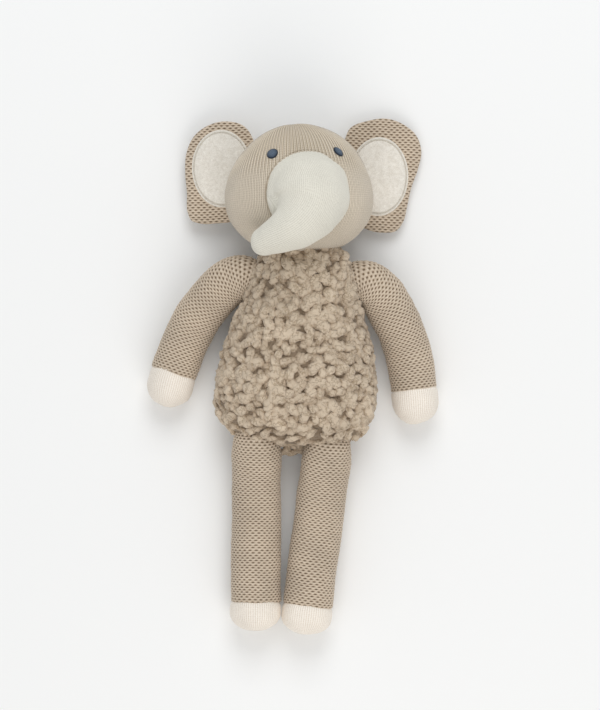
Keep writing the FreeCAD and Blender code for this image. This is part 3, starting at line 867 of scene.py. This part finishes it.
def ball(name, centre, radii, rings=40):
    polar = np.linspace(0.05, math.pi - 0.05, rings)
    angle = np.linspace(0, 2 * math.pi, rings * 2, endpoint=False)
    pp, aa = np.meshgrid(polar, angle, indexing="ij")
    shape = np.stack([np.sin(pp) * np.cos(aa), np.sin(pp) * np.sin(aa), np.cos(pp)], -1)
    return grid_piece(name, shape * np.array(radii) + np.array(centre), FIBRE, capped=(True, True))


trunk_line = spline(TRUNK, np.linspace(0, 1, 60))
ahead = unit(np.gradient(trunk_line[:, :3], axis=0))
side = unit(np.cross(ahead, np.array([0.0, -0.4, 1.0]) + 0 * ahead))
up = np.cross(ahead, side)
ring = np.linspace(0, 2 * math.pi, 64, endpoint=False)
tube = trunk_line[:, None, :3] + trunk_line[:, 3, None, None] * (
    side[:, None] * np.cos(ring)[None, :, None] + up[:, None] * np.sin(ring)[None, :, None]
)
tube = grid_piece("trunk_form", tube, FIBRE, capped=(True, True))
tip = ball("tip_form", TRUNK[-1][:3], (TRUNK[-1][3],) * 3)
dome = ball("muzzle_form", (*PATCH_CENTRE, 25.0), (PATCH_RADIUS, PATCH_RADIUS, 24.5))
VOXEL = 0.95
verts, normals, quads = solid_union([dome, tube, tip], VOXEL, 6)
# The wales follow a line down the middle of the muzzle and the trunk, and round its girth.
SPINE = [(0.7, 40.0, 25.0, 27.0), (0.7, 12.0, 25.0, 27.0), *TRUNK[2:], (-46.0, -42.7, 24.5, 9.0)]
spine = spline(SPINE, np.linspace(0, 1, 400))
spine_way = unit(np.gradient(spine[:, :3], axis=0))
spine_side = unit(np.cross(spine_way, np.array([0, 0, 1.0])))
spine_up = np.cross(spine_side, spine_way)
spine_travel = np.concatenate([[0], np.cumsum(np.linalg.norm(np.diff(spine[:, :3], axis=0), axis=1))])
nearest = np.empty(len(verts), int)
for block in range(0, len(verts), 4000):
    gap = verts[block : block + 4000, None] - spine[None, :, :3]
    nearest[block : block + 4000] = (gap**2).sum(-1).argmin(1)
offset = verts - spine[nearest, :3]
girth_angle = np.arctan2((offset * spine_side[nearest]).sum(1), (offset * spine_up[nearest]).sum(1))
beyond = (offset * spine_way[nearest]).sum(1)
trunk_uv = np.stack([girth_angle * spine[nearest, 3] / WALE, (spine_travel[nearest] + beyond) / COURSE], -1)
verts = verts + normals * (waves(verts, 15, 71, 0.35))[:, None]
trunk_skin = mesh_piece("trunk_skin", head_world(verts), quads, MUZZLE, trunk_uv)
root = joint_at("trunk_curl")
tip_world = head_world(np.array(TRUNK[-1][:3]))
lead = unit(tip_world - root)
bend = ("head", "trunk"), root - lead * 12, root + lead * 16
finish_piece(trunk_skin, bend[0], "cream_jersey", ["muzzle_cover", "trunk_cover"], 0.8, *bend[1:])
trunk_fill = mesh_piece("trunk_filling", head_world(verts - normals * 1.8), quads, FIBRE)
finish_piece(trunk_fill, bend[0], "fibre_fill", ["muzzle_stuffing", "trunk_stuffing"], 0.8, *bend[1:])

# ---------------------------------------------------------------- threads
def thread_run(name, points, radius, material, sides=8, closed=False):
    """A round thread along a line of points in millimetres."""
    points = np.asarray(points, float)
    if closed:
        ahead = unit(np.roll(points, -1, axis=0) - np.roll(points, 1, axis=0))
    else:
        ahead = unit(np.gradient(points, axis=0))
    helper = np.where(np.abs(ahead[:, 2:3]) > 0.9, np.array([[1.0, 0, 0]]), np.array([[0, 0, 1.0]]))
    first = unit(np.cross(ahead, helper))
    second = np.cross(ahead, first)
    ring = np.linspace(0, 2 * math.pi, sides, endpoint=False)
    grid = points[:, None] + radius * (
        first[:, None] * np.cos(ring)[None, :, None] + second[:, None] * np.sin(ring)[None, :, None]
    )
    uv = np.stack(np.meshgrid(np.arange(len(points)) * 0.5, ring, indexing="ij"), -1)
    if closed:
        grid = np.concatenate([grid, grid[:1]])
        uv = np.concatenate([uv, uv[:1]])
    ends = (not closed, not closed)
    middle = points if not closed else np.concatenate([points, points[:1]])
    return grid_piece(name, grid, material, uv=uv, capped=ends, toward=grid - middle[:, None])


# ---------------------------------------------------------------- muzzle stitching and eyes
SEAM_RADIUS = 27.9
turns = np.linspace(0, 2 * math.pi, 240, endpoint=False)
rim = PATCH_CENTRE + SEAM_RADIUS * np.stack([np.cos(turns), np.sin(turns)], -1)
rim_z = head_height(rim[:, 0], rim[:, 1]) + 0.1 + 0.12 * np.sin(turns * 70)
rim = head_world(np.column_stack([rim, rim_z]))
seam = thread_run("muzzle_stitching", rim, 0.4, HEAD_THREAD, closed=True)
finish_piece(seam, ["head"], "thread", ["muzzle_seam"])

EYE_SPREAD = 21.4
EYE_HEIGHT = 21.0
EYE_TILT = {"left": 38.0, "right": -42.0}
EYE_HALF = {"left": (3.8, 2.8), "right": (3.8, 2.2)}
for side, sign in SIDES.items():
    rings, spokes = 22, 72
    r = np.linspace(0.03, 1, rings)
    a = np.linspace(0, 2 * math.pi, spokes, endpoint=False)
    rr, aa = np.meshgrid(r, a, indexing="ij")
    tilt = math.radians(EYE_TILT[side])
    u, v = rr * np.cos(aa) * EYE_HALF[side][0], rr * np.sin(aa) * EYE_HALF[side][1]
    x = sign * EYE_SPREAD + u * math.cos(tilt) - v * math.sin(tilt)
    y = EYE_HEIGHT + u * math.sin(tilt) + v * math.cos(tilt)
    z = head_height(x, y)
    dome_height = 1.5 * np.sqrt(np.clip(1.02 - rr**2, 0, 1)) + 0.4
    strands = 0.16 * np.abs(np.sin(u * 5.4))
    p = np.stack([x, y, z], -1)
    p = p + unit(p / HEAD_RADII**2) * (dome_height + strands)[..., None]
    # The crown value paints shade on the eye: darker towards its rim, paler on top.
    eye = grid_piece(
        f"eye_{side}_embroidery", head_world(p), NAVY, uv=np.stack([v, u * 3], -1),
        values={"crown": 1.15 - 0.75 * rr**3}, capped=(True, False), toward=HEAD_TURN[:, 2],
    )
    finish_piece(eye, ["head"], "navy_thread", [f"eye_{side}"])

# ---------------------------------------------------------------- ears
# Outline from the sewn edge, as outwards and towards-the-crown distances.
EAR_OUTLINE = {
    "left": [
        (-7.0, -4.0), (-4.0, -14.0), (6.0, -19.5), (18.0, -20.6), (29.0, -20.2), (34.5, -18.0), (37.0, -12.0),
        (37.0, 0.0), (37.6, 14.0), (36.2, 27.0), (31.0, 37.5), (21.0, 44.6), (9.0, 46.8), (-3.0, 43.0),
        (-9.0, 33.0), (-9.0, 14.0),
    ],
    "right": [
        (-7.0, -10.0), (-2.0, -22.0), (8.0, -28.0), (18.0, -29.6), (27.0, -28.0), (31.5, -21.5),
        (33.6, -12.0), (35.8, 0.0), (40.2, 14.0), (42.0, 25.0), (38.4, 35.5), (30.0, 42.5), (18.0, 46.2), (6.0, 44.5),
        (-6.0, 39.0), (-9.5, 30.0), (-9.0, 10.0),
    ],
}
LINING = {"left": ((12.8, 15.5), (20.0, 25.8)), "right": ((14.0, 7.5), (19.8, 26.3))}
EAR_MIDDLE = {"left": (15.0, 13.0), "right": (16.0, 8.5)}
EAR_PLACES = {"left": (-84.0, 5.0), "right": (92.0, 1.0)}
EAR_HALF = 4.2
EAR_RELIEF = 0.75
EAR_SPOKES = 620
EAR_RINGS = 112
LINING_LIFT = 1.3
EDGE_STITCHES = 64
STITCH_LINE = 0.93
STITCH_RADIUS = 0.28


def ear_frame(side):
    yaw, roll = EAR_PLACES[side]
    a = math.radians(roll)
    tip = np.array([[1, 0, 0], [0, math.cos(a), -math.sin(a)], [0, math.sin(a), math.cos(a)]])
    return turn_z(yaw) @ tip, joint_at(f"ear_{side}_fold")


def ear_world(side, sign, out, up, lift):
    rotation, origin = ear_frame(side)
    local = np.stack([sign * up, -out, lift], -1)
    return local @ rotation.T + origin


def ear_swell(rr):
    return EAR_HALF * np.sqrt(np.clip(1 - rr**3.2, 0, 1)) * (0.82 + 0.18 * rr)


def ear_height(out, up, outline, middle):
    """Height of the ear's front over a point of its plan."""
    d = np.stack([out, up], -1) - middle
    angle = np.arctan2(d[..., 1], d[..., 0])
    reach = np.interp(angle, outline[:, 0], outline[:, 1], period=2 * math.pi)
    rr = np.linalg.norm(d, axis=-1) / reach
    return ear_swell(np.clip(rr, 0, 1))


def ear_curl(up, sign):
    """The slow curl of the whole ear towards its top and bottom."""
    return 0.0016 * (up - 13) ** 2 + 0.5 * np.sin(up * 0.12 + sign)


def polar_outline(points, middle):
    """The outline as a table of angle and reach about the ear's middle."""
    closed = np.array([(*q, 0.0) for q in points + points[:1]])
    delta = spline(closed, np.linspace(0, 1, 400))[:-1, :2] - middle
    angle = np.arctan2(delta[:, 1], delta[:, 0])
    order = np.argsort(angle)
    return np.stack([angle[order], np.linalg.norm(delta, axis=1)[order]], -1)


for side, sign in SIDES.items():
    rotation, origin = ear_frame(side)
    ear_middle = np.array(EAR_MIDDLE[side])
    outline_polar = polar_outline(EAR_OUTLINE[side], ear_middle)
    lining_centre, lining_radii = LINING[side]
    spokes, rings = int(EAR_SPOKES / COARSE), int(EAR_RINGS / COARSE)
    a = np.linspace(0, 2 * math.pi, spokes, endpoint=False)
    reach = np.interp(a, outline_polar[:, 0], outline_polar[:, 1], period=2 * math.pi)
    rim_rings = 1 - 0.14 * np.linspace(1, 0, rings // 3) ** 1.6
    r = np.concatenate([np.linspace(0.02, 0.86, rings, endpoint=False), rim_rings])
    out = ear_middle[0] + r[:, None] * reach * np.cos(a)
    up = ear_middle[1] + r[:, None] * reach * np.sin(a)
    curl = ear_curl(up, sign)
    swell = ear_swell(r[:, None] + 0 * out)
    height = garter_height(out / STITCH + 0.4, up / RIDGE + 0.06 * np.sin(out * 0.3), 3)
    across_lining = (out - lining_centre[0]) / lining_radii[0]
    along_lining = (up - lining_centre[1]) / lining_radii[1]
    from_lining = np.hypot(across_lining, along_lining)
    inset = ease(1.06 - from_lining, 0, 0.1)
    uv = np.stack([out / STITCH, up / RIDGE], -1)
    along_ear = rotation @ np.array([0, 1.0, 0])
    blend = (("head", f"ear_{side}"), origin + 4.0 * along_ear, origin - 9.0 * along_ear)
    for panel, face in (("front", 1), ("back", -1)):
        pressed = inset if face > 0 else 0 * inset
        relief = (height - 0.75) * EAR_RELIEF * (1 - pressed) - 0.5 * pressed
        rim_fade = ease(1 - r, 0.0, 0.05)[:, None]
        lift = face * (swell + relief * rim_fade) + curl
        points = ear_world(side, sign, out, up, lift)
        # The stitch height is kept as the crown value, which gives painted shade between the ridges.
        knit = grid_piece(
            f"ear_{side}_{panel}_panel", points, GARTER, uv=uv, values={"crown": height},
            capped=(True, False), toward=rotation[:, 2] * face,
        )
        finish_piece(knit, blend[0], "garter_knit", [f"ear_{side}_{panel}"], 0.35, *blend[1:])
    inner = ear_world(side, sign, out[::4, ::4], up[::4, ::4], (curl + swell * 0.6)[::4, ::4])
    wad = grid_piece(f"ear_{side}_batting", inner, FIBRE, capped=(True, False), toward=rotation[:, 2])
    finish_piece(wad, blend[0], "fibre_fill", [f"ear_{side}_wadding"], 0.3, *blend[1:])

    edge_rings = 1 - 0.12 * np.linspace(1, 0, 14)[1:] ** 1.5
    lr = np.concatenate([np.linspace(0.02, 0.88, int(34 / COARSE)), edge_rings])
    la = np.linspace(0, 2 * math.pi, int(200 / COARSE), endpoint=False)
    lout = lining_centre[0] + lr[:, None] * lining_radii[0] * np.cos(la)
    lup = lining_centre[1] + lr[:, None] * lining_radii[1] * np.sin(la)
    top = ear_height(lout, lup, outline_polar, ear_middle)
    puff = LINING_LIFT * np.sqrt(np.clip(1.0 - lr**8, 0, 1))[:, None]
    groove = 0.5 * np.exp(-(((lr - STITCH_LINE) / 0.018) ** 2))[:, None]
    lining_p = ear_world(side, sign, lout, lup, top + ear_curl(lup, sign) - 0.55 + (puff - groove))
    lining = grid_piece(f"ear_{side}_oval", lining_p, FELT, capped=(True, False), toward=rotation[:, 2])
    finish_piece(lining, blend[0], "cream_felt", [f"ear_{side}_lining"], None, *blend[1:])

    verts, quads, uvs = [], [], []
    for i in range(EDGE_STITCHES):
        mid = 2 * math.pi * i / EDGE_STITCHES
        t = np.linspace(-0.36, 0.36, 7) * 2 * math.pi / EDGE_STITCHES + mid
        so = lining_centre[0] + STITCH_LINE * lining_radii[0] * np.cos(t)
        su = lining_centre[1] + STITCH_LINE * lining_radii[1] * np.sin(t)
        top = ear_height(so, su, outline_polar, ear_middle)
        arch = 0.35 * np.cos(np.linspace(-1, 1, 7) * math.pi / 2)
        line = ear_world(side, sign, so, su, top + ear_curl(su, sign) + 0.25 + arch)
        ahead = unit(np.gradient(line, axis=0))
        first = unit(np.cross(ahead, rotation[:, 2]))
        second = np.cross(ahead, first)
        ring = np.linspace(0, 2 * math.pi, 6, endpoint=False)
        grid = line[:, None] + STITCH_RADIUS * (
            first[:, None] * np.cos(ring)[None, :, None] + second[:, None] * np.sin(ring)[None, :, None]
        )
        quads.append(grid_faces(7, 6, True, len(verts) * 42))
        verts.append(grid.reshape(-1, 3))
        uvs.append(np.stack(np.meshgrid(np.arange(7) * 0.5, ring, indexing="ij"), -1).reshape(-1, 2))
    stitches = mesh_piece(f"ear_{side}_stitches", np.vstack(verts), np.vstack(quads), SEWING, np.vstack(uvs))
    finish_piece(stitches, blend[0], "thread", [f"ear_{side}_stitching"], None, *blend[1:])

# ---------------------------------------------------------------- hidden seams
for node in sorted(frame["nodes"]):
    if "seam" not in node or node == "muzzle_seam":
        continue
    lo, hi = (mm(v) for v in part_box(node))
    t = np.linspace(0, 1, 60)[:, None]
    if node == "shoulder_seam_right":
        lo[0], hi[0] = hi[0], lo[0]
    line = lo + (hi - lo) * t + np.array([0, 0.2, 0.25]) * np.sin(t * 60)
    run = thread_run(f"{node}_thread", line, 0.35, SEWING)
    finish_piece(run, ["torso"], "thread", [node])

# ---------------------------------------------------------------- floor, light, camera
floor_mat = Nodes("floor", roughness=0.6, sheen=0.0)
floor_mat.shader.inputs["Base Color"].default_value = (0.93, 0.935, 0.93, 1)
bpy.ops.mesh.primitive_plane_add(size=6.0, location=(0, 0, -0.0002))
floor = bpy.context.active_object
floor.name = "floor"
floor.data.materials.append(floor_mat.material)

world = bpy.data.worlds.new("studio")
bpy.context.scene.world = world
world.use_nodes = True
world.node_tree.nodes["Background"].inputs[0].default_value = (0.97, 0.985, 1.0, 1)
world.node_tree.nodes["Background"].inputs[1].default_value = 0.58


def soft_light(name, place, target, size, power, colour):
    lamp = bpy.data.lights.new(name, "AREA")
    lamp.size = size
    lamp.energy = power
    lamp.color = colour
    holder = bpy.data.objects.new(name, lamp)
    bpy.context.scene.collection.objects.link(holder)
    holder.location = place
    holder.rotation_euler = (Vector(target) - Vector(place)).to_track_quat("-Z", "Y").to_euler()


soft_light("key", (0.0, 1.15, 1.35), (0, 0, 0), 1.0, 10.8, (0.98, 0.99, 1.0))
soft_light("fill", (0.3, -1.15, 1.1), (0, 0, 0), 1.3, 9.0, (1.0, 0.95, 0.9))

camera = bpy.data.cameras.new("camera")
camera.lens = 210.0
camera.sensor_width = 36.0
eye_point = bpy.data.objects.new("camera", camera)
bpy.context.scene.collection.objects.link(eye_point)
eye_point.location = (0.0011, 0.0122, 2.76)
eye_point.rotation_euler = (0, 0, math.radians(3.84))
bpy.context.scene.camera = eye_point
bpy.context.scene.view_settings.view_transform = "Standard"
